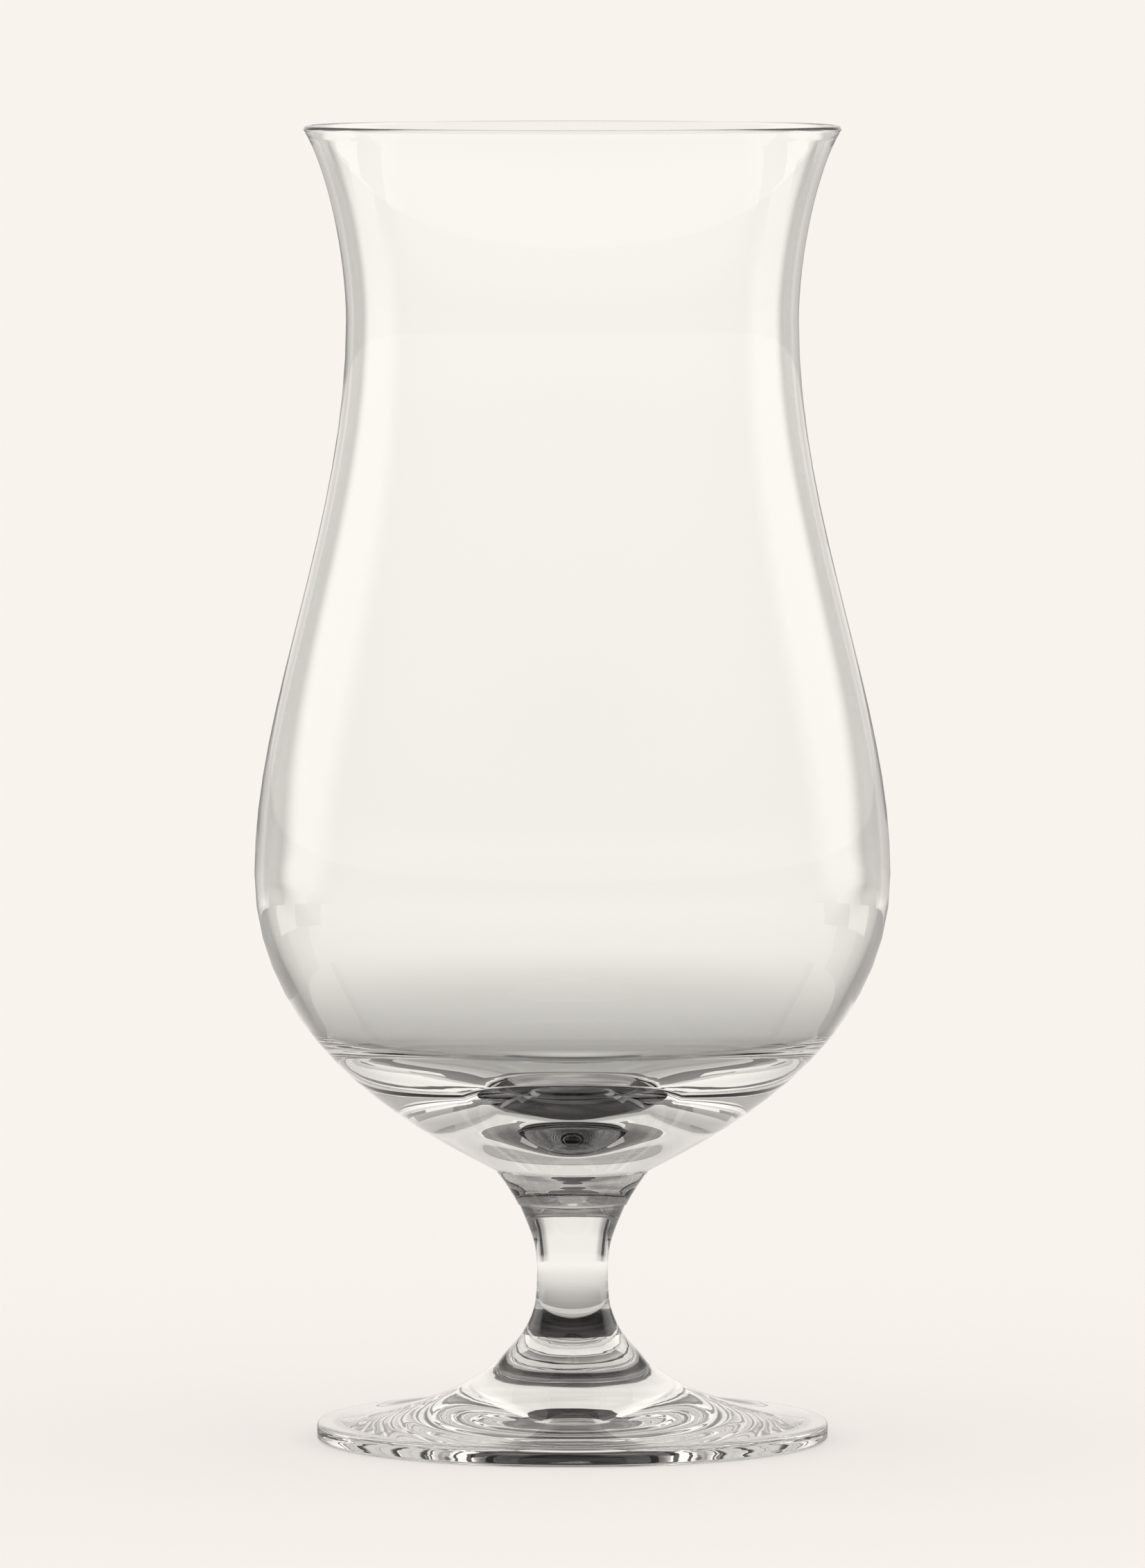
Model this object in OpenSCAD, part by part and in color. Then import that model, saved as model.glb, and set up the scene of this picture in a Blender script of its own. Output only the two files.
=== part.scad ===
// Hurricane glass: a waisted bowl on a short collar, a drawn stem and a round foot.
// The four pieces are formed one by one and joined hot, seat to seat, on one upright axis.
// The origin is the centre of the surface that the glass stands on, and +Z points up.
// All sizes are in millimetres.

/* [Bowl] */
// Height of the bowl, from its seat on the collar to the top of the rim
bowl_h = 143; // [134:0.5:156]
// Outer diameter of the flared rim
rim_d = 73.4; // [66:0.2:82]
// Outer diameter of the waist
waist_d = 61.8; // [54:0.2:65]
// Depth of the waist below the top of the rim
waist_drop = 26.6; // [20:0.5:34]
// Outer diameter of the belly, the widest place
belly_d = 87; // [78:0.5:96]
// Height of the belly above the seat
belly_rise = 40.8; // [36:0.2:46]
// Diameter of the seat, where the bowl meets the collar
bowl_seat_d = 21; // [18:0.2:24]

/* [Glass thickness] */
// Wall at the rim
rim_wall = 1.1; // [0.8:0.1:1.6]
// Wall at the waist
waist_wall = 1; // [0.8:0.1:1.6]
// Wall at the belly
belly_wall = 1.2; // [0.9:0.1:1.8]
// Wall at the heel, where the side turns in to the floor
heel_wall = 1.4; // [1.2:0.1:3]
// Thickness of the base, from the seat up to the edge of the dip in its floor
base_t = 13.2; // [11:0.1:15]
// Diameter of the round dip in the middle of the floor
dip_d = 19; // [14:0.2:22]
// Depth of that dip
dip_depth = 3; // [1:0.1:4]

/* [Collar] */
// Height of the collar between bowl and stem
collar_h = 4.7; // [3:0.1:7]
// Diameter of the collar's lower end
collar_foot_d = 15.1; // [14.8:0.1:17]
// How far the collar's side is drawn in from a straight cone
collar_hollow = 0.2; // [0:0.05:0.5]
// Rounding of the collar's lower edge
collar_round = 0.25; // [0.1:0.05:0.4]

/* [Stem] */
// Length of the stem, from the foot's seat to the collar
stem_l = 17.7; // [14:0.5:30]
// Diameter of the stem under the collar
stem_top_d = 14.5; // [12:0.1:14.6]
// Diameter of the neck, the stem's narrowest place
neck_d = 9.7; // [7:0.1:11]
// Height of the neck above the foot's seat
neck_rise = 8.6; // [6:0.1:11]

/* [Foot] */
// Diameter of the foot
foot_d = 70; // [60:0.5:78]
// Height of the foot's seat, where the stem stands
foot_h = 14.6; // [11:0.1:18]
// Diameter of the foot's seat
foot_seat_d = 13.8; // [12:0.1:16]
// Height of the foot's upright edge
foot_edge_h = 2.7; // [2:0.1:4]
// Rounding of the upper corner of the edge
foot_edge_round = 0.8; // [0.5:0.1:1]
// Rounding of the lower corner of the edge
foot_heel_round = 0.5; // [0.5:0.1:0.9]
// Width of the flat ring that the foot stands on
foot_ring_w = 3; // [2:0.1:6]
// Depth of the hollow under the foot
foot_hollow = 1; // [0.4:0.1:1.4]

/* [Hidden] */

// Steps along each curve of an outline, and along each small rounding
curve_steps = 18;
round_steps = 6;
$fn = 128;

// Places of the seats above the table
stem_z = foot_h;
collar_z = stem_z + stem_l;
bowl_z = collar_z + collar_h;

// Handles of the bowl's outer curves, as shares of the height that each curve spans
rim_fall_share = 0.2;
rim_flare_share = 0.56;
waist_above_share = 0.34;
waist_below_share = 0.367;
belly_above_share = 0.311;
belly_below_share = 0.617;
seat_rise_share = 0.1;
// Run of the bowl's side beside its rise where it reaches the seat
seat_run_share = 1.8;

// Where the heel lies on the curve from belly to seat, and how full the cavity is
heel_place_share = 0.34;
cavity_corner_share = 0.72;
floor_flat_share = 0.68;
floor_fall_share = 0.2;
// How many degrees steeper than the outside the cavity's side is at the heel
heel_steeper = 2.8;
// Handles of the dip, as shares of its radius and of its depth
dip_edge_share = 0.53;
dip_fall_share = 0.46;
dip_flat_share = 0.34;

// Handles of the stem's curves, as shares of the height or the radius that each spans
stem_fall_share = 0.43;
stem_flare_share = 0.68;
neck_above_share = 0.42;
neck_below_share = 0.56;
stem_spread_share = 0.27;
stem_spread_flare_share = 0.7;

// Handles of the foot's upper curve, as shares of its height and of its run
foot_sweep_share = 0.46;
foot_sweep_run_share = 0.15;
foot_plate_share = 0.6;
foot_plate_rise_share = 0.09;
// Handle of the hollow under the foot, as a share of its radius
hollow_flat_share = 0.55;

// A point on the curve through p[0] and p[3] with the handles p[1] and p[2]
function bezier(p, t) =
    pow(1 - t, 3) * p[0]
    + 3 * pow(1 - t, 2) * t * p[1]
    + 3 * (1 - t) * pow(t, 2) * p[2]
    + pow(t, 3) * p[3];

// The direction in which that curve runs
function bezier_run(p, t) =
    pow(1 - t, 2) * (p[1] - p[0])
    + 2 * (1 - t) * t * (p[2] - p[1])
    + pow(t, 2) * (p[3] - p[2]);

function curve(p) = [for (i = [0 : curve_steps]) bezier(p, i / curve_steps)];

// The same curve without its first point, to follow another
function curve_on(p) = [for (i = [1 : curve_steps]) bezier(p, i / curve_steps)];

// An arc about a centre, from one angle to another
function arc(centre, radius, from, to) = [
    for (i = [0 : round_steps])
        centre + radius * [
            cos(from + (to - from) * i / round_steps),
            sin(from + (to - from) * i / round_steps)
        ]
];

// Turned a quarter to the left, at unit length
function left_of(v) = [-v[1], v[0]] / norm(v);

// Turned to the left by an angle
function turned_by(v, angle) = [
    v[0] * cos(angle) - v[1] * sin(angle),
    v[0] * sin(angle) + v[1] * cos(angle)
];

module turned(outline) {
    rotate_extrude() polygon(outline);
}

// Outer curves of the bowl, with the seat at height zero
lip_r = rim_wall / 2;
rim_r = rim_d / 2;
waist_r = waist_d / 2;
belly_r = belly_d / 2;
bowl_seat_r = bowl_seat_d / 2;
lip_h = bowl_h - lip_r;
waist_h = bowl_h - waist_drop;
flare_h = lip_h - waist_h;
flank_h = waist_h - belly_rise;

function flare(r_top, r_waist) = [
    [r_top, lip_h],
    [r_top - rim_flare_share * (r_top - r_waist), lip_h - rim_fall_share * flare_h],
    [r_waist, waist_h + waist_above_share * flare_h],
    [r_waist, waist_h]
];

function flank(r_waist, r_belly) = [
    [r_waist, waist_h],
    [r_waist, waist_h - waist_below_share * flank_h],
    [r_belly, belly_rise + belly_above_share * flank_h],
    [r_belly, belly_rise]
];

seat_handle = seat_rise_share * belly_rise;
under_bowl = [
    [belly_r, belly_rise],
    [belly_r, belly_rise * (1 - belly_below_share)],
    [bowl_seat_r + seat_run_share * seat_handle, seat_handle],
    [bowl_seat_r, 0]
];

// The cavity follows the outside down to the heel, turns in to its floor and ends in the dip
heel_run = bezier_run(under_bowl, heel_place_share);
heel = bezier(under_bowl, heel_place_share) - heel_wall * left_of(heel_run);
heel_dir = turned_by(heel_run / norm(heel_run), heel_steeper);
dip_r = dip_d / 2;
dip_h = base_t - dip_depth;
inner_belly = [belly_r - belly_wall, belly_rise];
// Where the line of the side would meet the level of the floor
corner = heel + heel_dir * (heel[1] - base_t) / -heel_dir[1];

cavity_side = [
    inner_belly,
    inner_belly + heel_place_share * (under_bowl[1] - under_bowl[0]),
    heel - heel_place_share * norm(heel_run) * heel_dir,
    heel
];
cavity_floor = [
    heel,
    heel + cavity_corner_share * (corner - heel),
    [
        dip_r + floor_flat_share * (corner[0] - dip_r),
        base_t + floor_fall_share * (heel[1] - base_t)
    ],
    [dip_r, base_t]
];
cavity_dip = [
    [dip_r, base_t],
    [dip_edge_share * dip_r, base_t - dip_fall_share * dip_depth],
    [dip_flat_share * dip_r, dip_h],
    [0, dip_h]
];

module bowl() {
    color([0.9, 0.91, 0.9])
        translate([0, 0, bowl_z])
            turned(concat(
                arc([rim_r - lip_r, lip_h], lip_r, 180, 0),
                curve_on(flare(rim_r, waist_r)),
                curve_on(flank(waist_r, belly_r)),
                curve_on(under_bowl),
                [[0, 0]],
                [for (i = [curve_steps : -1 : 0]) bezier(cavity_dip, i / curve_steps)],
                [for (i = [curve_steps - 1 : -1 : 0]) bezier(cavity_floor, i / curve_steps)],
                [for (i = [curve_steps - 1 : -1 : 0]) bezier(cavity_side, i / curve_steps)],
                [for (i = [curve_steps - 1 : -1 : 0])
                    bezier(flank(waist_r - waist_wall, belly_r - belly_wall), i / curve_steps)],
                [for (i = [curve_steps - 1 : -1 : 1])
                    bezier(flare(rim_r - rim_wall, waist_r - waist_wall), i / curve_steps)]
            ));
}

// The collar's side, from the bowl down to its rounded lower edge
collar_foot_r = collar_foot_d / 2;
collar_drawn = [collar_hollow, 0];
collar_side = [
    [bowl_seat_r, collar_h],
    (2 * [bowl_seat_r, collar_h] + [collar_foot_r, collar_round]) / 3 - collar_drawn,
    ([bowl_seat_r, collar_h] + 2 * [collar_foot_r, collar_round]) / 3 - collar_drawn,
    [collar_foot_r, collar_round]
];

module collar() {
    color([0.84, 0.86, 0.85])
        translate([0, 0, collar_z])
            turned(concat(
                [[0, collar_h]],
                curve(collar_side),
                arc([collar_foot_r - collar_round, collar_round], collar_round, 0, -90),
                [[0, 0]]
            ));
}

// The stem's side narrows to the neck and spreads again to the foot's seat
stem_top_r = stem_top_d / 2;
neck_r = neck_d / 2;
foot_seat_r = foot_seat_d / 2;
over_neck = stem_l - neck_rise;

module stem() {
    color([0.88, 0.89, 0.88])
        translate([0, 0, stem_z])
            turned(concat(
                [[0, stem_l]],
                curve([
                    [stem_top_r, stem_l],
                    [stem_top_r - stem_flare_share * (stem_top_r - neck_r), stem_l - stem_fall_share * over_neck],
                    [neck_r, neck_rise + neck_above_share * over_neck],
                    [neck_r, neck_rise]
                ]),
                curve_on([
                    [neck_r, neck_rise],
                    [neck_r, neck_rise * (1 - neck_below_share)],
                    [
                        foot_seat_r - stem_spread_flare_share * (foot_seat_r - neck_r),
                        stem_spread_share * neck_rise
                    ],
                    [foot_seat_r, 0]
                ]),
                [[0, 0]]
            ));
}

// The foot sweeps from its seat to a thin plate with an upright rounded edge
foot_r = foot_d / 2;
foot_drop = foot_h - foot_edge_h;
plate_r = foot_r - foot_edge_round;
foot_run = plate_r - foot_seat_r;
ring_outer_r = foot_r - foot_heel_round;
ring_inner_r = ring_outer_r - foot_ring_w;

module foot() {
    color([0.86, 0.87, 0.86])
        turned(concat(
            [[0, foot_h]],
            curve([
                [foot_seat_r, foot_h],
                [foot_seat_r + foot_sweep_run_share * foot_run, foot_h - foot_sweep_share * foot_drop],
                [plate_r - foot_plate_share * foot_run, foot_edge_h + foot_plate_rise_share * foot_drop],
                [plate_r, foot_edge_h]
            ]),
            arc([plate_r, foot_edge_h - foot_edge_round], foot_edge_round, 90, 0),
            arc([ring_outer_r, foot_heel_round], foot_heel_round, 0, -90),
            curve([
                [ring_inner_r, 0],
                [ring_inner_r * hollow_flat_share, foot_hollow],
                [ring_inner_r * hollow_flat_share, foot_hollow],
                [0, foot_hollow]
            ])
        ));
}

bowl();
collar();
stem();
foot();
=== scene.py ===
"""A clear hurricane glass on a pale floor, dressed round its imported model.

The glass is made of a bowl, a collar, a stem and a foot, each turned from an outline
that is drawn as a Bezier curve and spun about the upright axis. Lengths are in metres.
"""
import logging
import math
from dataclasses import dataclass, field
from enum import Enum

import bpy
from mathutils import Matrix, Vector


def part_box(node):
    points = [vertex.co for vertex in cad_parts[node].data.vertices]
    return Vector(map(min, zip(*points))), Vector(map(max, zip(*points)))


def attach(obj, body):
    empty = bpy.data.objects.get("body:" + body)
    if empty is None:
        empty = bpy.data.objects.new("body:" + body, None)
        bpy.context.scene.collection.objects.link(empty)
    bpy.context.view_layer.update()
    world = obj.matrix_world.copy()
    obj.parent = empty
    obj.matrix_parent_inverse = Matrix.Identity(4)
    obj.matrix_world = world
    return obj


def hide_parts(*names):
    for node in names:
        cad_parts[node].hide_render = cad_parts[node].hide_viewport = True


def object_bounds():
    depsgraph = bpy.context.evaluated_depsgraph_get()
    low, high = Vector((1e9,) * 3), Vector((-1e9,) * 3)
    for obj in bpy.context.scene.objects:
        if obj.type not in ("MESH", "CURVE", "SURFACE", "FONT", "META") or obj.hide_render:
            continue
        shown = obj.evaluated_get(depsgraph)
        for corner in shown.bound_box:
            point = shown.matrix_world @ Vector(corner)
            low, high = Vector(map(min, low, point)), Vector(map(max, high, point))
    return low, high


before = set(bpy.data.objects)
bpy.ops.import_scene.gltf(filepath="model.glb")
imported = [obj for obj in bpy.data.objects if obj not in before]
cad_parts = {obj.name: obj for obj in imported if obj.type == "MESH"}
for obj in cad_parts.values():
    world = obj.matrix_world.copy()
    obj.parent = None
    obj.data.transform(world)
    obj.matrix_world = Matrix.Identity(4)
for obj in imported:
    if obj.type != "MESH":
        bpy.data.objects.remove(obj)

CAD_LOW, CAD_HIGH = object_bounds()

logging.basicConfig(level=logging.INFO, format="%(message)s")
log = logging.getLogger("hurricane_glass")

Point = tuple[float, float]
Colour = tuple[float, float, float]
Value = float | bpy.types.NodeSocket

BODY = "root"
CREAM: Colour = (0.947, 0.896, 0.855)
WHITE: Colour = (1.0, 1.0, 1.0)
BLACK: Colour = (0.0, 0.0, 0.0)
HOLLOW_LEVEL = 1.07
ECHO_LEVEL = 0.62
WINDOW_LEVEL = 1.3
GAP_NEAR_HORIZON = 0.5
FULL_TURN = 2 * math.pi
QUARTER_ARC = 0.5523
SAME_PLACE = 1e-7
LEVEL_TOLERANCE = 2e-6
THIRD = 1 / 3


class Surface(Enum):
    """The material slots of a turned piece."""

    GLASS = 0
    FUSED_SEAT = 1


@dataclass(frozen=True)
class Curve:
    """One stretch of an outline: radius and height at its ends and at its two handles."""

    start: Point
    lead: Point
    trail: Point
    end: Point

    def at(self, share: float) -> Vector:
        """Find a point on the curve.

        Args:
            share: How far along the curve it lies, from 0 to 1.

        Returns:
            The point's radius and height.
        """
        ahead, back = share, 1 - share
        points = (Vector(p) for p in (self.start, self.lead, self.trail, self.end))
        weights = (back ** 3, 3 * back ** 2 * ahead, 3 * back * ahead ** 2, ahead ** 3)
        return sum((w * p for w, p in zip(weights, points)), Vector((0.0, 0.0)))

    def heading(self, share: float) -> Vector:
        """Find the direction in which the curve runs.

        Args:
            share: How far along the curve, from 0 to 1.

        Returns:
            The direction at unit length.
        """
        return self.run(share).normalized()

    def run(self, share: float) -> Vector:
        """Find the handle that the curve would have at a point, if it were cut there.

        Args:
            share: How far along the curve, from 0 to 1.

        Returns:
            The handle, for a cut curve of the whole length.
        """
        a, b, c, d = (Vector(p) for p in (self.start, self.lead, self.trail, self.end))
        back = 1 - share
        return back ** 2 * (b - a) + 2 * back * share * (c - b) + share ** 2 * (d - c)

    def turned_round(self) -> "Curve":
        """Return the same curve, drawn from its end to its start."""
        return Curve(self.end, self.trail, self.lead, self.start)

    def raised(self, height: float) -> "Curve":
        """Return the same curve, lifted by a height."""
        return Curve(*((r, z + height) for r, z in (self.start, self.lead, self.trail, self.end)))


def straight(start: Point, end: Point) -> Curve:
    """Draw a straight stretch.

    Args:
        start: Radius and height where it starts.
        end: Radius and height where it ends.

    Returns:
        The stretch as a curve with its handles a third of the way in.
    """
    first, last = Vector(start), Vector(end)
    return Curve(start, tuple(first.lerp(last, THIRD)), tuple(first.lerp(last, 2 * THIRD)), end)


def corner(start: Point, tip: Point, end: Point) -> Curve:
    """Draw a quarter arc.

    Args:
        start: Radius and height where it starts.
        tip: The corner that it rounds off.
        end: Radius and height where it ends.

    Returns:
        The arc as a curve.
    """
    sharp = Vector(tip)
    lead = Vector(start).lerp(sharp, QUARTER_ARC)
    trail = Vector(end).lerp(sharp, QUARTER_ARC)
    return Curve(start, tuple(lead), tuple(trail), end)


def work_on(piece: bpy.types.Object) -> None:
    """Make one object the only selected and the active one.

    Args:
        piece: The object to work on.
    """
    bpy.ops.object.select_all(action="DESELECT")
    piece.select_set(True)
    bpy.context.view_layer.objects.active = piece


def draw_outline(name: str, curves: list[Curve], steps: int) -> bpy.types.Object:
    """Draw an outline as a Bezier curve and turn it into edges.

    Args:
        name: The name of the new object.
        curves: The stretches of the outline, each starting where the one before it ends.
        steps: Edges along each stretch.

    Returns:
        A mesh object of edges in the plane of X and Z.
    """
    bpy.ops.object.select_all(action="DESELECT")
    bpy.ops.curve.primitive_bezier_curve_add()
    drawn = bpy.context.object
    drawn.name = name
    drawn.data.resolution_u = steps
    spline = drawn.data.splines[0]
    spline.bezier_points.add(len(curves) + 1 - len(spline.bezier_points))
    for index, knot in enumerate(spline.bezier_points):
        before = curves[index - 1] if index else None
        after = curves[index] if index < len(curves) else None
        place = after.start if after else before.end
        arriving = before.trail if before else place
        leaving = after.lead if after else place
        knot.handle_left_type = knot.handle_right_type = "FREE"
        knot.co = (place[0], 0, place[1])
        knot.handle_left = (arriving[0], 0, arriving[1])
        knot.handle_right = (leaving[0], 0, leaving[1])
    work_on(drawn)
    bpy.ops.object.convert(target="MESH")
    return bpy.context.object


def turn_outline(drawn: bpy.types.Object, steps: int, sharp: float) -> bpy.types.Object:
    """Spin an outline about the upright axis into a closed, smooth piece.

    Args:
        drawn: The outline's edges, from one point on the axis to another.
        steps: Steps round the full turn.
        sharp: Edges that turn by more than this angle stay sharp.

    Returns:
        The same object, now a solid of revolution.
    """
    work_on(drawn)
    bpy.ops.object.mode_set(mode="EDIT")
    bpy.ops.mesh.select_all(action="SELECT")
    bpy.ops.mesh.spin(steps=steps, angle=FULL_TURN, center=(0, 0, 0), axis=(0, 0, 1))
    bpy.ops.mesh.select_all(action="SELECT")
    bpy.ops.mesh.remove_doubles(threshold=SAME_PLACE)
    bpy.ops.mesh.dissolve_degenerate(threshold=SAME_PLACE)
    bpy.ops.mesh.select_all(action="SELECT")
    bpy.ops.mesh.normals_make_consistent(inside=False)
    bpy.ops.object.mode_set(mode="OBJECT")
    bpy.ops.object.shade_smooth_by_angle(angle=sharp)
    return drawn


def mark_seats(piece: bpy.types.Object, heights: tuple[float, ...]) -> None:
    """Give the level faces at some heights the finish of a fused seat.

    Args:
        piece: The piece whose seats are marked.
        heights: The heights of its seats.
    """
    mesh = piece.data
    for face in mesh.polygons:
        levels = [mesh.vertices[v].co.z for v in face.vertices]
        if any(max(abs(z - h) for z in levels) < LEVEL_TOLERANCE for h in heights):
            face.material_index = Surface.FUSED_SEAT.value


@dataclass(frozen=True)
class Fade:
    """An eased change of a level, between two values of what it depends on."""

    start: float
    end: float
    before: float = 0.0
    after: float = 1.0


def over_distance(near: float, far: float, before: float = 0.0, after: float = 1.0) -> Fade:
    """Make a fade between two distances, eased along their logarithms.

    Args:
        near: The distance where it starts, in metres.
        far: The distance where it ends.
        before: The level at the start.
        after: The level at the end.

    Returns:
        The fade, for the logarithm of a distance.
    """
    return Fade(math.log(near), math.log(far), before, after)


class NodeBoard:
    """A node tree with short calls for adding and joining nodes.

    The numbers say which sockets of a Mix node hold two numbers, two colours and the mixed colour.
    """

    NUMBERS = (2, 3)
    COLOURS = (6, 7)
    MIXED_COLOUR = 2

    def __init__(self, tree: bpy.types.NodeTree) -> None:
        """Empty the tree and keep it.

        Args:
            tree: The node tree to work on.
        """
        self.tree = tree
        tree.nodes.clear()

    def add(self, kind: str, **settings: object) -> bpy.types.Node:
        """Add a node.

        Args:
            kind: The node's type name.
            **settings: Values for its properties.

        Returns:
            The new node.
        """
        node = self.tree.nodes.new(kind)
        for name, value in settings.items():
            setattr(node, name, value)
        return node

    def put(self, source: object, target: bpy.types.NodeSocket) -> None:
        """Set an input, or join an output to it.

        Args:
            source: A value, or an output socket.
            target: The input socket.
        """
        if isinstance(source, bpy.types.NodeSocket):
            self.tree.links.new(source, target)
        else:
            target.default_value = source

    def work_out(self, operation: str, *values: Value) -> bpy.types.NodeSocket:
        """Work out one number from others.

        Args:
            operation: The Math node's operation.
            *values: Its inputs, each a number or a socket.

        Returns:
            The output socket.
        """
        node = self.add("ShaderNodeMath", operation=operation)
        for value, socket in zip(values, node.inputs):
            self.put(value, socket)
        return node.outputs[0]

    def ramp(
        self, value: Value, low: Value, high: Value, to_low: Value = 0.0, to_high: Value = 1.0
    ) -> bpy.types.NodeSocket:
        """Ease a number from one range to another.

        Args:
            value: The number, a socket.
            low: Where the ramp starts.
            high: Where it ends.
            to_low: The result at the start.
            to_high: The result at the end.

        Returns:
            The output socket.
        """
        node = self.add("ShaderNodeMapRange", interpolation_type="SMOOTHSTEP")
        for source, socket in zip((value, low, high, to_low, to_high), node.inputs):
            self.put(source, socket)
        return node.outputs["Result"]

    def fade(self, value: Value, change: Fade) -> bpy.types.NodeSocket:
        """Find the level that a fade gives.

        Args:
            value: What the level depends on.
            change: The fade.

        Returns:
            The output socket.
        """
        return self.ramp(value, change.start, change.end, change.before, change.after)

    def blend(self, share: Value, first: Value, second: Value) -> bpy.types.NodeSocket:
        """Mix two numbers.

        Args:
            share: How much of the second there is.
            first: The first number, or its socket.
            second: The second number, or its socket.

        Returns:
            The output socket.
        """
        node = self.add("ShaderNodeMix", data_type="FLOAT")
        self.put(share, node.inputs["Factor"])
        for source, index in zip((first, second), self.NUMBERS):
            self.put(source, node.inputs[index])
        return node.outputs[0]

    def blend_colours(
        self, share: Value, first: Colour | bpy.types.NodeSocket, second: Colour | bpy.types.NodeSocket
    ) -> bpy.types.NodeSocket:
        """Mix two colours.

        Args:
            share: How much of the second colour there is.
            first: The first colour, or its socket.
            second: The second colour, or its socket.

        Returns:
            The output socket.
        """
        node = self.add("ShaderNodeMix", data_type="RGBA")
        self.put(share, node.inputs["Factor"])
        for source, index in zip((first, second), self.COLOURS):
            self.put((*source, 1.0) if isinstance(source, tuple) else source, node.inputs[index])
        return node.outputs[self.MIXED_COLOUR]

    def mix_shaders(self, share: Value, first: bpy.types.Node, second: bpy.types.Node) -> bpy.types.Node:
        """Mix what two shader nodes give.

        Args:
            share: How much of the second there is.
            first: The first node.
            second: The second node.

        Returns:
            The node that mixes them.
        """
        node = self.add("ShaderNodeMixShader")
        self.put(share, node.inputs["Fac"])
        self.put(first.outputs[0], node.inputs[1])
        self.put(second.outputs[0], node.inputs[2])
        return node

    def bump(self, height: bpy.types.NodeSocket, depth: float) -> bpy.types.Node:
        """Add a bump at full strength.

        Args:
            height: The pattern that raises the surface.
            depth: How far it raises it, in metres.

        Returns:
            The bump's node.
        """
        node = self.add("ShaderNodeBump")
        node.inputs["Strength"].default_value = 1.0
        node.inputs["Distance"].default_value = depth
        self.put(height, node.inputs["Height"])
        return node

    def noise(self, place: bpy.types.NodeSocket, scale: float) -> bpy.types.Node:
        """Add a noise pattern.

        Args:
            place: The coordinates that it is laid out in.
            scale: Its scale.

        Returns:
            The pattern's node.
        """
        node = self.add("ShaderNodeTexNoise")
        self.put(place, node.inputs["Vector"])
        node.inputs["Scale"].default_value = scale
        return node


@dataclass(frozen=True)
class ClearGlass:
    """Fire-polished clear glass, with the faint waves and draw lines of its forming.

    The heavy values are the heights between which the glass greys, and how grey it gets there: painted shade
    that stands for the dark surroundings that the heavy base gathers. The edge values grey the glass where
    it is seen edge-on, also painted shade.
    """

    name: str
    tint: Colour = (0.98, 0.995, 0.985)
    edge_painted_shade: Colour = (0.80, 0.80, 0.79)
    edge_grey: Fade = Fade(0.08, 0.42, 1.0, 0.0)
    ior: float = 1.5
    wave_scale: float = 40.0
    wave_detail: float = 1.0
    wave_depth: float = 0.00004
    haze_scale: float = 220.0
    haze: Fade = Fade(0.45, 0.75, 0.0, 0.012)
    streak_scale: float = 60.0
    streak_stretch: tuple[float, float, float] = (1.0, 1.0, 12.0)
    streak_band: tuple[float, float] = (0.38, 0.62)
    streak_low: float = 1.0
    streak_depth: float = 0.0
    heavy_start: Fade = Fade(0.0495, 0.052)
    heavy_end: tuple[float, float] = (0.0525, 0.0665)
    base_painted_shade: float = 1.0

    def streaks_and_painted_shade(
        self, board: NodeBoard, place: bpy.types.Node, streaks: bpy.types.Node
    ) -> bpy.types.NodeSocket:
        """Find how clear the glass is from its streaks, with painted shade that darkens it by height.

        Args:
            board: The node tree.
            place: The node that gives the coordinates.
            streaks: The streaks' node.

        Returns:
            The output socket, 1 where the glass is clearest and has no painted shade.
        """
        streaked = board.ramp(streaks.outputs["Fac"], *self.streak_band, self.streak_low, 1.0)
        parts = board.add("ShaderNodeSeparateXYZ")
        board.put(place.outputs["Object"], parts.inputs["Vector"])
        height = parts.outputs["Z"]
        # Painted shade: a band of height where the thin wall turns into the heavy base is greyed, for the
        # dark surroundings that this part gathers.
        heavy = board.ramp(height, *self.heavy_end, board.fade(height, self.heavy_start), 0.0)
        return board.work_out("MULTIPLY", streaked, board.ramp(heavy, 0.0, 1.0, 1.0, self.base_painted_shade))

    def material(self) -> bpy.types.Material:
        """Make the material.

        Returns:
            The material with its nodes.
        """
        made = bpy.data.materials.new(self.name)
        made.use_nodes = True
        board = NodeBoard(made.node_tree)
        place = board.add("ShaderNodeTexCoord")
        waves = board.noise(place.outputs["Object"], self.wave_scale)
        waves.inputs["Detail"].default_value = self.wave_detail
        stretch = board.add("ShaderNodeMapping")
        board.put(place.outputs["Object"], stretch.inputs["Vector"])
        stretch.inputs["Scale"].default_value = self.streak_stretch
        streaks = board.noise(stretch.outputs["Vector"], self.streak_scale)
        fine = board.bump(streaks.outputs["Fac"], self.streak_depth)
        board.put(board.bump(waves.outputs["Fac"], self.wave_depth).outputs["Normal"], fine.inputs["Normal"])
        haze = board.noise(place.outputs["Object"], self.haze_scale)
        # Painted shade: where the glass is seen edge-on, its colour greys towards the edge colour, standing
        # for the dark surroundings that its edges gather.
        facing = board.add("ShaderNodeLayerWeight")
        straight_on = board.work_out("SUBTRACT", 1.0, facing.outputs["Facing"])
        tint = board.blend_colours(board.fade(straight_on, self.edge_grey), self.tint, self.edge_painted_shade)
        shader = board.add("ShaderNodeBsdfPrincipled")
        clear = self.streaks_and_painted_shade(board, place, streaks)
        board.put(board.blend_colours(clear, BLACK, tint), shader.inputs["Base Color"])
        board.put(board.fade(haze.outputs["Fac"], self.haze), shader.inputs["Roughness"])
        board.put(fine.outputs["Normal"], shader.inputs["Normal"])
        shader.inputs["IOR"].default_value = self.ior
        shader.inputs["Transmission Weight"].default_value = 1.0
        out = board.add("ShaderNodeOutputMaterial")
        board.put(shader.outputs["BSDF"], out.inputs["Surface"])
        return made


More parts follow.
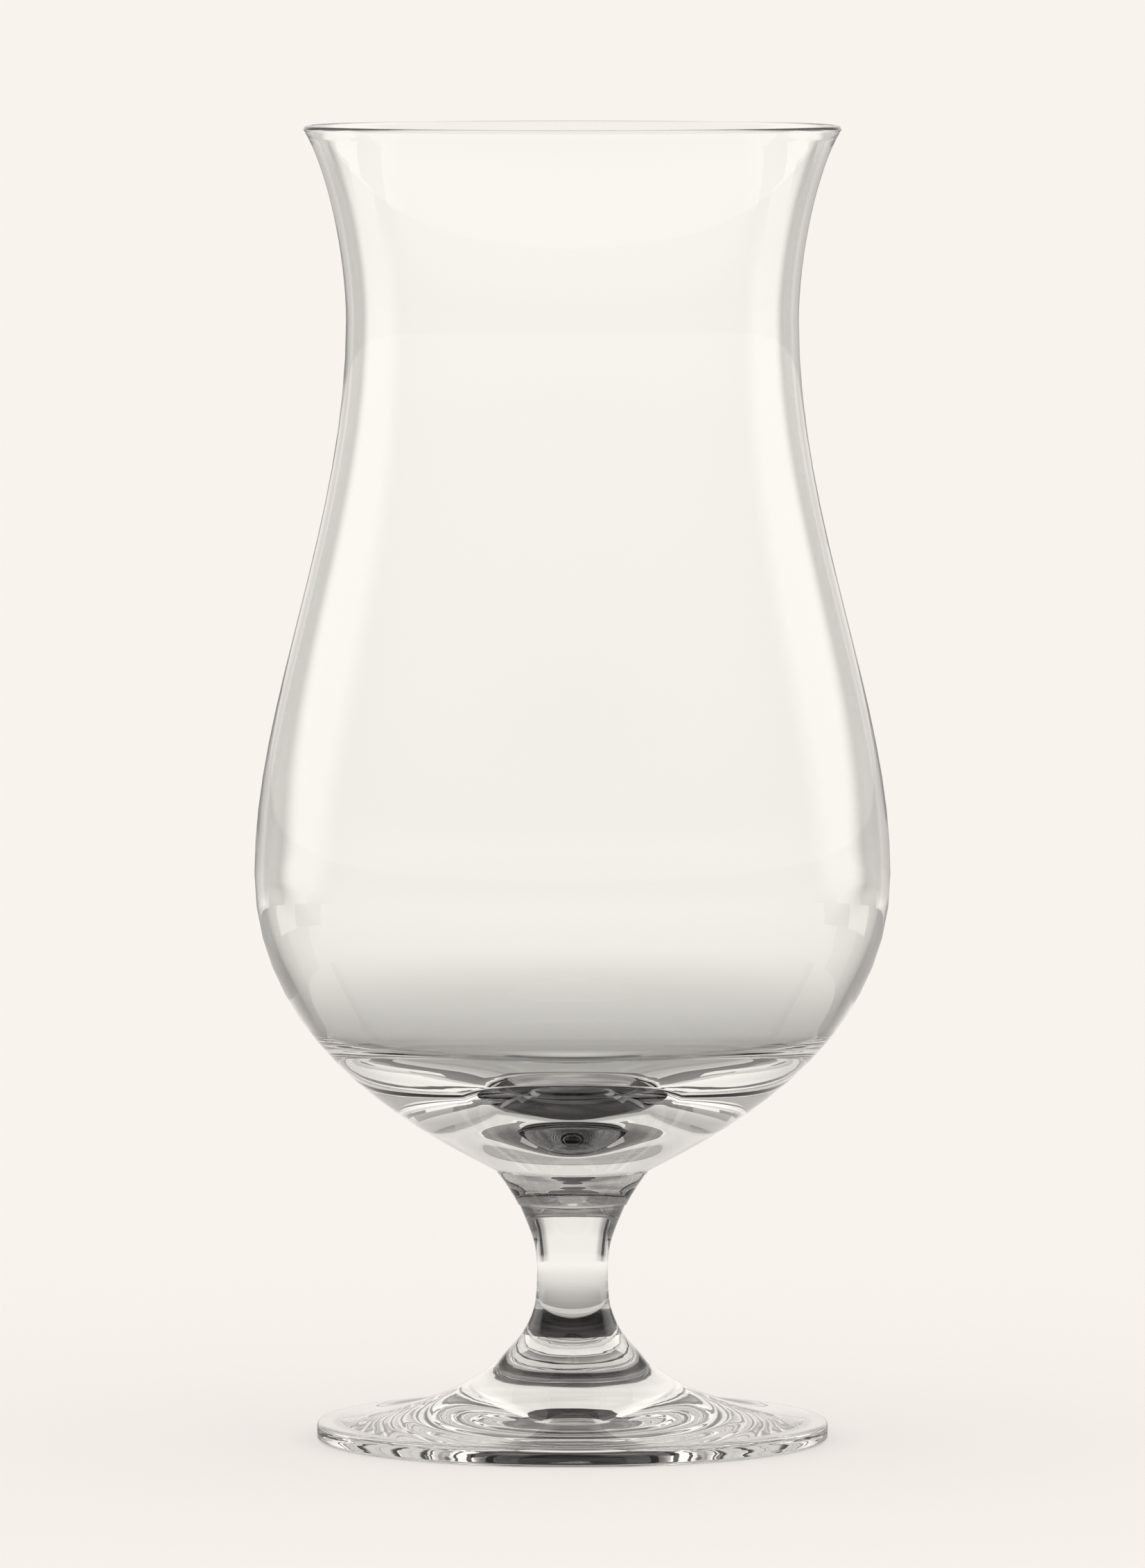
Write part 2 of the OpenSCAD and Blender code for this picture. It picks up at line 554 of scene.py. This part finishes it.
@dataclass(frozen=True)
class FusedSeat:
    """The face where two pieces are fused: light goes straight through, dimmed by the streaked joint."""

    name: str = "fused_seat"
    streak_scale: float = 160.0
    streak: Fade = Fade(0.35, 0.65, 0.5, 0.76)

    def material(self) -> bpy.types.Material:
        """Make the material, or return it if it is made.

        Returns:
            The material, shared by all the seats.
        """
        if self.name in bpy.data.materials:
            return bpy.data.materials[self.name]
        made = bpy.data.materials.new(self.name)
        made.use_nodes = True
        board = NodeBoard(made.node_tree)
        place = board.add("ShaderNodeTexCoord")
        streaks = board.noise(place.outputs["Object"], self.streak_scale)
        shader = board.add("ShaderNodeBsdfTransparent")
        board.put(board.fade(streaks.outputs["Fac"], self.streak), shader.inputs["Color"])
        out = board.add("ShaderNodeOutputMaterial")
        board.put(shader.outputs["BSDF"], out.inputs["Surface"])
        return made


@dataclass
class TurnedPiece:
    """A piece of the glass that is turned about the upright axis."""

    node: str
    finish: ClearGlass
    steps_along: int = 16
    steps_round: int = 288
    sharp: float = math.radians(35)

    def seat_level(self) -> float:
        """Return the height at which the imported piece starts."""
        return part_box(self.node)[0][2]

    def outline(self) -> list[Curve]:
        """Return the stretches of the outline. Each kind of piece draws its own."""
        raise NotImplementedError

    def seats(self) -> tuple[float, ...]:
        """Return the heights of the faces that are fused to other pieces."""
        raise NotImplementedError

    def build(self) -> bpy.types.Object:
        """Turn, dress and place the piece.

        Returns:
            The finished object.
        """
        drawn = draw_outline(f"{self.node}_glass", self.outline(), self.steps_along)
        piece = turn_outline(drawn, self.steps_round, self.sharp)
        piece.data.materials.clear()
        piece.data.materials.append(self.finish.material())
        piece.data.materials.append(FusedSeat().material())
        mark_seats(piece, self.seats())
        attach(piece, BODY)
        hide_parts(self.node)
        return piece


@dataclass
class Bowl(TurnedPiece):
    """The tall waisted vessel, with its flared rim, thin wall and heavy base."""

    height: float = 0.143
    rim_r: float = 0.0367
    waist_r: float = 0.0309
    waist_drop: float = 0.0266
    belly_r: float = 0.0435
    belly_rise: float = 0.0408
    seat_r: float = 0.0105
    rim_wall: float = 0.0011
    waist_wall: float = 0.001
    belly_wall: float = 0.0012
    heel_wall: float = 0.0014
    base_t: float = 0.0132
    dip_r: float = 0.0095
    dip_depth: float = 0.003
    rim_fall: float = 0.2
    rim_flare: float = 0.56
    waist_above: float = 0.34
    waist_below: float = 0.367
    belly_above: float = 0.311
    belly_below: float = 0.617
    seat_rise: float = 0.1
    seat_run: float = 1.8
    heel_place: float = 0.34
    heel_steeper: float = math.radians(2.8)
    cavity_corner: float = 0.72
    floor_flat: float = 0.68
    floor_fall: float = 0.2
    dip_edge: float = 0.53
    dip_fall: float = 0.46
    dip_flat: float = 0.34

    @property
    def lip_h(self) -> float:
        """Height at which the rounded lip starts."""
        return self.height - self.rim_wall / 2

    @property
    def waist_h(self) -> float:
        """Height of the waist above the seat."""
        return self.height - self.waist_drop

    def flare(self, rim: float, waist: float) -> Curve:
        """Draw a curve from the lip down to the waist.

        Args:
            rim: Its radius at the lip.
            waist: Its radius at the waist.

        Returns:
            The curve.
        """
        span = self.lip_h - self.waist_h
        return Curve(
            (rim, self.lip_h),
            (rim - self.rim_flare * (rim - waist), self.lip_h - self.rim_fall * span),
            (waist, self.waist_h + self.waist_above * span),
            (waist, self.waist_h),
        )

    def flank(self, waist: float, belly: float) -> Curve:
        """Draw a curve from the waist down to the belly.

        Args:
            waist: Its radius at the waist.
            belly: Its radius at the belly.

        Returns:
            The curve.
        """
        span = self.waist_h - self.belly_rise
        return Curve(
            (waist, self.waist_h),
            (waist, self.waist_h - self.waist_below * span),
            (belly, self.belly_rise + self.belly_above * span),
            (belly, self.belly_rise),
        )

    def underside(self) -> Curve:
        """Return the outer curve from the belly down to the seat."""
        handle = self.seat_rise * self.belly_rise
        return Curve(
            (self.belly_r, self.belly_rise),
            (self.belly_r, self.belly_rise * (1 - self.belly_below)),
            (self.seat_r + self.seat_run * handle, handle),
            (self.seat_r, 0.0),
        )

    def cavity(self) -> list[Curve]:
        """Return the three curves of the cavity below the belly: its side, floor and dip."""
        under = self.underside()
        down = under.heading(self.heel_place)
        heel = under.at(self.heel_place) + self.heel_wall * Vector((down.y, -down.x))
        down.rotate(Matrix.Rotation(self.heel_steeper, 2))
        belly = Vector((self.belly_r - self.belly_wall, self.belly_rise))
        meet = heel + down * ((heel.y - self.base_t) / -down.y)
        side = Curve(
            tuple(belly),
            tuple(belly + self.heel_place * under.run(0.0)),
            tuple(heel - self.heel_place * under.run(self.heel_place).length * down),
            tuple(heel),
        )
        floor = Curve(
            tuple(heel),
            tuple(heel.lerp(meet, self.cavity_corner)),
            (
                self.dip_r + self.floor_flat * (meet.x - self.dip_r),
                self.base_t + self.floor_fall * (heel.y - self.base_t),
            ),
            (self.dip_r, self.base_t),
        )
        lowest = self.base_t - self.dip_depth
        dip = Curve(
            (self.dip_r, self.base_t),
            (self.dip_edge * self.dip_r, self.base_t - self.dip_fall * self.dip_depth),
            (self.dip_flat * self.dip_r, lowest),
            (0.0, lowest),
        )
        return [side, floor, dip]

    def outline(self) -> list[Curve]:
        """Return the outline, up the inside, over the lip and down the outside to the axis."""
        inner_rim = self.rim_r - self.rim_wall
        side, floor, dip = self.cavity()
        inner_flank = self.flank(self.waist_r - self.waist_wall, self.belly_r - self.belly_wall)
        lip_middle = self.rim_r - self.rim_wall / 2
        curves = [
            dip.turned_round(),
            floor.turned_round(),
            side.turned_round(),
            inner_flank.turned_round(),
            self.flare(inner_rim, self.waist_r - self.waist_wall).turned_round(),
            corner((inner_rim, self.lip_h), (inner_rim, self.height), (lip_middle, self.height)),
            corner((lip_middle, self.height), (self.rim_r, self.height), (self.rim_r, self.lip_h)),
            self.flare(self.rim_r, self.waist_r),
            self.flank(self.waist_r, self.belly_r),
            self.underside(),
            straight((self.seat_r, 0.0), (0.0, 0.0)),
        ]
        return [curve.raised(self.seat_level()) for curve in curves]

    def seats(self) -> tuple[float, ...]:
        """Return the height of the seat on the collar."""
        return (self.seat_level(),)


@dataclass
class Collar(TurnedPiece):
    """The short button between the bowl and the stem."""

    height: float = 0.0047
    top_r: float = 0.0105
    foot_r: float = 0.00755
    hollow: float = 0.0002
    round_r: float = 0.00025

    def outline(self) -> list[Curve]:
        """Return the outline, from the axis out over the top and down to the axis."""
        top = Vector((self.top_r, self.height))
        low = Vector((self.foot_r, self.round_r))
        drawn_in = Vector((self.hollow, 0.0))
        lead = top.lerp(low, THIRD) - drawn_in
        trail = top.lerp(low, 2 * THIRD) - drawn_in
        curves = [
            straight((0.0, self.height), tuple(top)),
            Curve(tuple(top), tuple(lead), tuple(trail), tuple(low)),
            corner(tuple(low), (self.foot_r, 0.0), (self.foot_r - self.round_r, 0.0)),
            straight((self.foot_r - self.round_r, 0.0), (0.0, 0.0)),
        ]
        return [curve.raised(self.seat_level()) for curve in curves]

    def seats(self) -> tuple[float, ...]:
        """Return the heights of the seats under the bowl and on the stem."""
        return (self.seat_level() + self.height, self.seat_level())


@dataclass
class Stem(TurnedPiece):
    """The short drawn stem, whose glass has faint upright streaks."""

    length: float = 0.0177
    top_r: float = 0.00725
    neck_r: float = 0.00485
    neck_rise: float = 0.0086
    foot_r: float = 0.0069
    fall: float = 0.43
    flare: float = 0.68
    neck_above: float = 0.42
    neck_below: float = 0.56
    spread: float = 0.27
    spread_flare: float = 0.7

    def outline(self) -> list[Curve]:
        """Return the outline, from the axis out over the top and down to the axis."""
        span = self.length - self.neck_rise
        upper = Curve(
            (self.top_r, self.length),
            (self.top_r - self.flare * (self.top_r - self.neck_r), self.length - self.fall * span),
            (self.neck_r, self.neck_rise + self.neck_above * span),
            (self.neck_r, self.neck_rise),
        )
        lower = Curve(
            (self.neck_r, self.neck_rise),
            (self.neck_r, self.neck_rise * (1 - self.neck_below)),
            (self.foot_r - self.spread_flare * (self.foot_r - self.neck_r), self.spread * self.neck_rise),
            (self.foot_r, 0.0),
        )
        curves = [
            straight((0.0, self.length), (self.top_r, self.length)),
            upper,
            lower,
            straight((self.foot_r, 0.0), (0.0, 0.0)),
        ]
        return [curve.raised(self.seat_level()) for curve in curves]

    def seats(self) -> tuple[float, ...]:
        """Return the heights of the seats under the collar and on the foot."""
        return (self.seat_level() + self.length, self.seat_level())


@dataclass
class Foot(TurnedPiece):
    """The round foot, swept up to the stem and slightly hollow underneath."""

    radius: float = 0.035
    height: float = 0.0146
    seat_r: float = 0.0069
    edge_h: float = 0.0027
    edge_round: float = 0.0008
    heel_round: float = 0.0005
    ring_w: float = 0.003
    hollow: float = 0.001
    sweep: float = 0.46
    sweep_run: float = 0.15
    plate: float = 0.6
    plate_rise: float = 0.09
    hollow_flat: float = 0.55

    def outline(self) -> list[Curve]:
        """Return the outline, from the axis out over the top and back underneath."""
        drop = self.height - self.edge_h
        edge_top = self.edge_h - self.edge_round
        plate_r = self.radius - self.edge_round
        run = plate_r - self.seat_r
        ring_out = self.radius - self.heel_round
        ring_in = ring_out - self.ring_w
        top = Curve(
            (self.seat_r, self.height),
            (self.seat_r + self.sweep_run * run, self.height - self.sweep * drop),
            (plate_r - self.plate * run, self.edge_h + self.plate_rise * drop),
            (plate_r, self.edge_h),
        )
        under = Curve(
            (ring_in, 0.0),
            (ring_in * self.hollow_flat, self.hollow),
            (ring_in * self.hollow_flat, self.hollow),
            (0.0, self.hollow),
        )
        curves = [
            straight((0.0, self.height), (self.seat_r, self.height)),
            top,
            corner((plate_r, self.edge_h), (self.radius, self.edge_h), (self.radius, edge_top)),
            straight((self.radius, edge_top), (self.radius, self.heel_round)),
            corner((self.radius, self.heel_round), (self.radius, 0.0), (ring_out, 0.0)),
            straight((ring_out, 0.0), (ring_in, 0.0)),
            under,
        ]
        return [curve.raised(self.seat_level()) for curve in curves]

    def seats(self) -> tuple[float, ...]:
        """Return the height of the seat under the stem."""
        return (self.seat_level() + self.height,)


@dataclass(frozen=True)
class Levels:
    """The level that each kind of ray sees.

    Attributes:
        hollow: Straight through the hollow bowl.
        echo: Mirrored inside the wall of the hollow bowl.
        solid: Straight through solid glass.
        shine: Mirrored by the outside.
        inner: Mirrored inside solid glass.
    """

    hollow: Value
    echo: Value
    solid: Value
    shine: Value
    inner: Value


class GlassPath:
    """What a ray has met before it leaves the glass, as switches from 0 to 1."""

    AT_ALL = 0.5
    TWO_FACES = 2.5
    TWICE = 2.5

    def __init__(self, board: NodeBoard) -> None:
        """Read the ray's path.

        Args:
            board: The node tree.
        """
        self.board = board
        path = board.add("ShaderNodeLightPath")
        through, off = path.outputs["Is Transmission Ray"], path.outputs["Is Glossy Ray"]
        glassy = board.work_out("MAXIMUM", through, off)
        direct = board.work_out("LESS_THAN", path.outputs["Diffuse Depth"], self.AT_ALL)
        mirrors, faces = path.outputs["Glossy Depth"], path.outputs["Transmission Depth"]
        self.by_glass = board.work_out("MULTIPLY", glassy, direct)
        self.mirrored = board.work_out("GREATER_THAN", mirrors, self.AT_ALL)
        self.mirrored_often = board.work_out("GREATER_THAN", mirrors, self.TWICE)
        self.been_inside = board.work_out("GREATER_THAN", faces, self.AT_ALL)
        self.through_hollow = board.work_out("GREATER_THAN", faces, self.TWO_FACES)
        self.camera_ray = path.outputs["Is Camera Ray"]

    def choose(self, levels: Levels) -> bpy.types.NodeSocket:
        """Pick the level that the ray sees.

        Args:
            levels: The level for each kind of ray.

        Returns:
            The output socket.
        """
        board = self.board
        straight_on = board.blend(self.through_hollow, levels.solid, levels.hollow)
        inside = board.blend(self.through_hollow, levels.inner, levels.echo)
        mirrored = board.blend(self.been_inside, levels.shine, inside)
        return board.blend(self.mirrored, straight_on, mirrored)


@dataclass
class Surroundings:
    """The boards, gaps, windows and soft boxes that stand round the glass, as the glass sees them.

    They are laid out by the direction from the glass, given by its X and Y. In the world they are light; on
    the floor they are painted light and shade.
    """

    board: NodeBoard
    across: bpy.types.NodeSocket
    along: bpy.types.NodeSocket
    gaps_in_turn: float = 4.0
    board_fall: Fade = Fade(-0.9, -0.3, 0.5, 1.0)
    gap_dark: Fade = Fade(-0.975, -0.93, 0.1, 1.0)
    sides_in_turn: float = 8.0
    side_fall: Fade = Fade(0.32, 0.64, 0.22, 1.0)
    box_start: Fade = Fade(0.08, 0.32)
    box_end: Fade = Fade(0.68, 0.92, 1.0, 0.0)
    box_levels: tuple[float, float] = (0.3, 1.6)
    behind: Fade = Fade(0.9, 0.98)
    window_width: float = 0.3
    window_height: float = 0.22
    window_share: Fade = Fade(0.35, 0.6, 0.42, 0.62)
    window_soft: float = 0.07
    windows_end: Fade = Fade(1.35, 1.5)
    beyond_windows: float = 0.8

    def __post_init__(self) -> None:
        """Work out the direction's place in the turn and its angle from the back of the studio."""
        self.turn = self.board.work_out("ARCTAN2", self.along, self.across)
        self.back = self.board.work_out("SINE", self.turn)
        self.away = self.board.work_out("ARCCOSINE", self.back)

    def wave(self, repeats: float) -> bpy.types.NodeSocket:
        """Return a wave that is 1 straight to the side and repeats round the turn.

        Args:
            repeats: How often it repeats.

        Returns:
            The output socket.
        """
        return self.board.work_out("COSINE", self.board.work_out("MULTIPLY", self.turn, repeats))

    def boards(self, share: Value) -> bpy.types.NodeSocket:
        """Return the level of the pale boards, falling off to the dark gaps between them.

        Args:
            share: How strongly the gaps show, from 0 to 1.

        Returns:
            The output socket.
        """
        wave = self.wave(self.gaps_in_turn)
        fall = self.board.fade(wave, self.board_fall)
        gap = self.board.fade(wave, self.gap_dark)
        return self.board.blend(share, 1.0, self.board.work_out("MULTIPLY", fall, gap))

    def sides(self) -> bpy.types.NodeSocket:
        """Return the level that falls off beside each eighth of the turn, which greys the bowl's sides."""
        return self.board.fade(self.wave(self.sides_in_turn), self.side_fall)

    def boxes(self, behind: float) -> bpy.types.NodeSocket:
        """Return the level of the soft boxes that the outside of the glass mirrors.

        Args:
            behind: How much brighter it is straight behind the glass than between the boxes.

        Returns:
            The output socket.
        """
        board = self.board
        rise = board.fade(self.back, self.box_start)
        band = board.work_out("MULTIPLY", rise, board.fade(self.back, self.box_end))
        middle = board.work_out("MULTIPLY", board.fade(self.back, self.behind), behind)
        return board.work_out("ADD", board.blend(band, *self.box_levels), middle)

    def windows(self, height: bpy.types.NodeSocket) -> bpy.types.NodeSocket:
        """Return 1 in the bright windows that light the inside of the glass, and 0 between them.

        Args:
            height: How high the direction points, or how far off the floor is met.

        Returns:
            The output socket.
        """
        board = self.board
        place = board.add("ShaderNodeCombineXYZ")
        board.put(self.away, place.inputs["X"])
        board.put(height, place.inputs["Y"])
        wall = board.add("ShaderNodeTexBrick")
        board.put(place.outputs["Vector"], wall.inputs["Vector"])
        for name, value in (
            ("Color1", (*BLACK, 1.0)),
            ("Color2", (*WHITE, 1.0)),
            ("Mortar", (*WHITE, 1.0)),
            ("Scale", 1.0),
            ("Mortar Size", 0.0),
            ("Mortar Smooth", 0.0),
            ("Bias", 0.0),
            ("Brick Width", self.window_width),
            ("Row Height", self.window_height),
        ):
            wall.inputs[name].default_value = value
        opening = board.fade(self.away, self.window_share)
        frame_edge = board.work_out("ADD", opening, self.window_soft)
        glazed = board.ramp(wall.outputs["Color"], opening, frame_edge, 1.0, 0.0)
        return board.blend(board.fade(self.away, self.windows_end), glazed, self.beyond_windows)


@dataclass
class Room:
    """The even light of the room, with boards, windows and gaps for the glass alone to show."""

    gap_share: Fade = Fade(0.0, 0.09, GAP_NEAR_HORIZON, 1.0)
    board_top: Fade = Fade(0.3, 0.7, 1.0, 0.3)
    box_top: Fade = Fade(0.5, 0.9)
    ceiling_shine: float = 1.1
    behind_shine: float = 0.72
    wall_start: Fade = Fade(0.06, 0.16)
    window_level: Fade = Fade(0.3, 0.6, 0.95, WINDOW_LEVEL)
    panel_level: float = 0.03
    streak_rate: float = 26.0
    streak: Fade = Fade(-0.75, -0.35, 0.1, 1.05)

    def inner(self, path: GlassPath, around: Surroundings, up: bpy.types.NodeSocket) -> bpy.types.NodeSocket:
        """Return the level that is mirrored inside solid glass.

        Args:
            path: What the ray has met.
            around: What stands round the glass.
            up: How high the direction points.

        Returns:
            The output socket.
        """
        board = path.board
        far_wall = board.fade(board.work_out("ABSOLUTE", up), self.wall_start)
        window = board.blend(far_wall, 1.0, around.windows(up))
        once = board.blend(window, self.panel_level, board.fade(around.away, self.window_level))
        rows = board.work_out("SINE", board.work_out("MULTIPLY", up, self.streak_rate))
        often = board.work_out("MULTIPLY", once, board.fade(rows, self.streak))
        return board.blend(path.mirrored_often, once, often)

    def build(self) -> None:
        """Make the world and its nodes."""
        world = bpy.data.worlds.new("studio")
        bpy.context.scene.world = world
        world.use_nodes = True
        board = NodeBoard(world.node_tree)
        path = GlassPath(board)
        place = board.add("ShaderNodeTexCoord")
        parts = board.add("ShaderNodeSeparateXYZ")
        board.put(place.outputs["Generated"], parts.inputs["Vector"])
        across, along, up = parts.outputs
        around = Surroundings(board, across, along)
        boards = around.boards(board.fade(up, self.gap_share))
        boxes = around.boxes(self.behind_shine)
        level = path.choose(Levels(
            hollow=board.work_out("MULTIPLY", around.sides(), HOLLOW_LEVEL),
            echo=ECHO_LEVEL,
            solid=board.work_out("MULTIPLY", boards, board.fade(up, self.board_top)),
            shine=board.blend(board.fade(up, self.box_top), boxes, self.ceiling_shine),
            inner=self.inner(path, around, up),
        ))
        seen = board.add("ShaderNodeBackground")
        board.put((*CREAM, 1.0), seen.inputs["Color"])
        board.put(level, seen.inputs["Strength"])
        plain = board.add("ShaderNodeBackground")
        board.put(board.blend_colours(path.camera_ray, WHITE, CREAM), plain.inputs["Color"])
        out = board.add("ShaderNodeOutputWorld")
        mixed = board.mix_shaders(path.by_glass, plain, seen)
        board.put(mixed.outputs[0], out.inputs["Surface"])


@dataclass
class PaleFloor:
    """The pale floor. Rays through the glass see it glow with painted light and shade: a painted shadow that
    darkens towards the glass's foot, painted light under the foot, and painted rings, windows, boards and
    soft boxes.

    Fades over a distance are in metres from the axis.
    """

    half: float = 12.0
    painted_shadow_pool: Fade = over_distance(0.035, 0.42, 0.36, 1.0)
    under_foot: Fade = Fade(0.0345, 0.0365, 1.0, 0.0)
    under_foot_painted_light: float = 0.85
    gap_share: Fade = over_distance(0.7, 3.5, 0.0, GAP_NEAR_HORIZON)
    inner_near: Fade = over_distance(0.016, 0.0351, 0.02, 0.42)
    inner_far: Fade = over_distance(0.07, 0.3985, 0.0, 0.48)
    ring_rate: float = 22.0
    ring: Fade = Fade(-0.25, 0.35, 0.2, 1.7)
    rings_end: Fade = over_distance(0.055, 0.0821)
    window_stretch: float = 0.35
    panel_level: float = 0.35
    windows_start: Fade = Fade(0.025, 0.04)
    windows_end: Fade = over_distance(0.4966, 1.0)
    streaks_end: Fade = Fade(0.045, 0.06, 1.0, 0.0)
    boxes_start: Fade = over_distance(0.3, 1.5)
    behind_shine: float = 0.08
    hollow_near: Fade = over_distance(0.0907, 0.1827, 0.68, 0.92)
    hollow_far: Fade = over_distance(0.3679, 3.32, 0.0, 0.08)
    sides_start: Fade = Fade(0.45, 1.3)
    shadow_lift: float = 0.45

    def inner(
        self, path: GlassPath, around: Surroundings, reach: bpy.types.NodeSocket, span: bpy.types.NodeSocket
    ) -> bpy.types.NodeSocket:
        """Return the painted level that solid glass mirrors inside: a painted shadow with rings by the foot,
        and painted windows past them.

        Args:
            path: What the ray has met.
            around: What stands round the glass.
            reach: The distance from the axis.
            span: The logarithm of that distance.

        Returns:
            The output socket.
        """
        board = path.board
        # Painted reflections: dark rings round the foot and windows further out, painted on the floor for
        # rays mirrored inside solid glass.
        painted_shadow_pool = board.work_out("ADD", board.fade(span, self.inner_near), board.fade(span, self.inner_far))
        wave = board.work_out("SINE", board.work_out("MULTIPLY", span, self.ring_rate))
        rings = board.blend(board.fade(span, self.rings_end), board.fade(wave, self.ring), 1.0)
        ringed = board.work_out("MULTIPLY", painted_shadow_pool, rings)
        window = around.windows(board.work_out("MULTIPLY", span, self.window_stretch))
        lit = board.blend(window, self.panel_level, WINDOW_LEVEL)
        open_far = board.blend(board.fade(span, self.windows_end), lit, 1.0)
        shaded = board.blend(board.fade(reach, self.windows_start), 1.0, open_far)
        streaked = board.work_out("MULTIPLY", path.mirrored_often, board.fade(reach, self.streaks_end))
        return board.blend(streaked, board.work_out("MULTIPLY", ringed, shaded), ringed)

    def levels(
        self, path: GlassPath, around: Surroundings, reach: bpy.types.NodeSocket, span: bpy.types.NodeSocket
    ) -> Levels:
        """Return the painted light and shade that each kind of ray from the glass sees on the floor.

        Args:
            path: What the ray has met.
            around: What stands round the glass.
            reach: The distance from the axis.
            span: The logarithm of that distance.

        Returns:
            The levels.
        """
        board = path.board
        # Painted shadow: the floor darkens towards the glass's foot, and is painted lighter right under the
        # foot.
        under_foot = board.fade(reach, self.under_foot)
        painted_shadow_pool = board.blend(under_foot, board.fade(span, self.painted_shadow_pool), self.under_foot_painted_light)
        # Painted shade and reflections: dark gaps between boards, darker near the glass for rays through the
        # hollow bowl, greyer beside it, and painted soft boxes for rays mirrored by the outside.
        boards = around.boards(board.fade(span, self.gap_share))
        near, far = board.fade(span, self.hollow_near), board.fade(span, self.hollow_far)
        open_floor = board.work_out("MULTIPLY", board.work_out("ADD", near, far), HOLLOW_LEVEL)
        beside = board.blend(board.fade(reach, self.sides_start), 1.0, around.sides())
        return Levels(
            hollow=board.work_out("MULTIPLY", open_floor, beside),
            echo=board.work_out("MULTIPLY", open_floor, ECHO_LEVEL),
            solid=board.work_out("MULTIPLY", painted_shadow_pool, boards),
            shine=board.blend(board.fade(span, self.boxes_start), painted_shadow_pool, around.boxes(self.behind_shine)),
            inner=self.inner(path, around, reach, span),
        )

    def material(self) -> bpy.types.Material:
        """Make the floor's material.

        Returns:
            The material.
        """
        made = bpy.data.materials.new("pale_floor_with_painted_light")
        made.use_nodes = True
        board = NodeBoard(made.node_tree)
        path = GlassPath(board)
        place = board.add("ShaderNodeTexCoord")
        parts = board.add("ShaderNodeSeparateXYZ")
        board.put(place.outputs["Object"], parts.inputs["Vector"])
        across, along, _ = parts.outputs
        length = board.add("ShaderNodeVectorMath", operation="LENGTH")
        board.put(place.outputs["Object"], length.inputs[0])
        reach = length.outputs["Value"]
        span = board.work_out("LOGARITHM", reach, math.e)
        around = Surroundings(board, across, along)
        # Rays through the glass see the floor glow with these painted levels. Other rays see a plain diffuse
        # floor, which the camera sees partly lifted towards its pale colour.
        seen = board.add("ShaderNodeEmission")
        board.put((*CREAM, 1.0), seen.inputs["Color"])
        board.put(path.choose(self.levels(path, around, reach, span)), seen.inputs["Strength"])
        plain = board.add("ShaderNodeBsdfDiffuse")
        board.put((*CREAM, 1.0), plain.inputs["Color"])
        pale = board.add("ShaderNodeEmission")
        board.put((*CREAM, 1.0), pale.inputs["Color"])
        lift = board.work_out("MULTIPLY", path.camera_ray, self.shadow_lift)
        mixed = board.mix_shaders(path.by_glass, board.mix_shaders(lift, plain, pale), seen)
        out = board.add("ShaderNodeOutputMaterial")
        board.put(mixed.outputs[0], out.inputs["Surface"])
        return made

    def build(self) -> None:
        """Lay the floor."""
        bpy.ops.object.select_all(action="DESELECT")
        bpy.ops.mesh.primitive_plane_add(size=2 * self.half)
        floor = bpy.context.object
        floor.name = "floor"
        floor.data.materials.append(self.material())


@dataclass
class Studio:
    """The room, the floor and the camera round the glass."""

    room: Room = field(default_factory=Room)
    floor: PaleFloor = field(default_factory=PaleFloor)
    camera_back: float = 1.89
    camera_up: float = 0.2153
    lens: float = 318.0
    clip_start: float = 0.1
    clip_end: float = 100.0
    bounces: int = 32
    mirror_bounces: int = 24

    def make_camera(self) -> None:
        """Stand the camera where the photograph was taken, a little above the rim."""
        data = bpy.data.cameras.new("camera")
        data.lens = self.lens
        data.clip_start = self.clip_start
        data.clip_end = self.clip_end
        camera = bpy.data.objects.new("camera", data)
        bpy.context.scene.collection.objects.link(camera)
        camera.location = (0.0, -self.camera_back, self.camera_up)
        middle = (CAD_LOW + CAD_HIGH) / 2
        camera.rotation_euler = (middle - camera.location).to_track_quat("-Z", "Y").to_euler()
        bpy.context.scene.camera = camera

    def build(self) -> None:
        """Set up everything round the glass."""
        self.room.build()
        self.floor.build()
        self.make_camera()
        scene = bpy.context.scene
        scene.view_settings.view_transform = "Standard"
        scene.cycles.max_bounces = self.bounces
        scene.cycles.transmission_bounces = self.bounces
        scene.cycles.glossy_bounces = self.mirror_bounces
        scene.cycles.transparent_max_bounces = self.bounces


def make_pieces() -> list[TurnedPiece]:
    """List the pieces of the glass, each with its own finish."""
    return [
        Bowl("bowl", ClearGlass("bowl_glass", base_painted_shade=0.71)),
        Collar("collar", ClearGlass("collar_glass", streak_low=0.62, streak_depth=0.00003)),
        Stem("stem", ClearGlass("stem_glass", streak_stretch=(6.0, 6.0, 0.3), streak_depth=0.00001)),
        Foot("foot", ClearGlass("foot_glass", streak_low=0.85, streak_depth=0.00003)),
    ]


def main() -> None:
    """Build the studio and the glass, and report each piece."""
    Studio().build()
    for piece in make_pieces():
        made = piece.build()
        log.info("%s: %d faces", made.name, len(made.data.polygons))


if __name__ == "__main__":
    main()
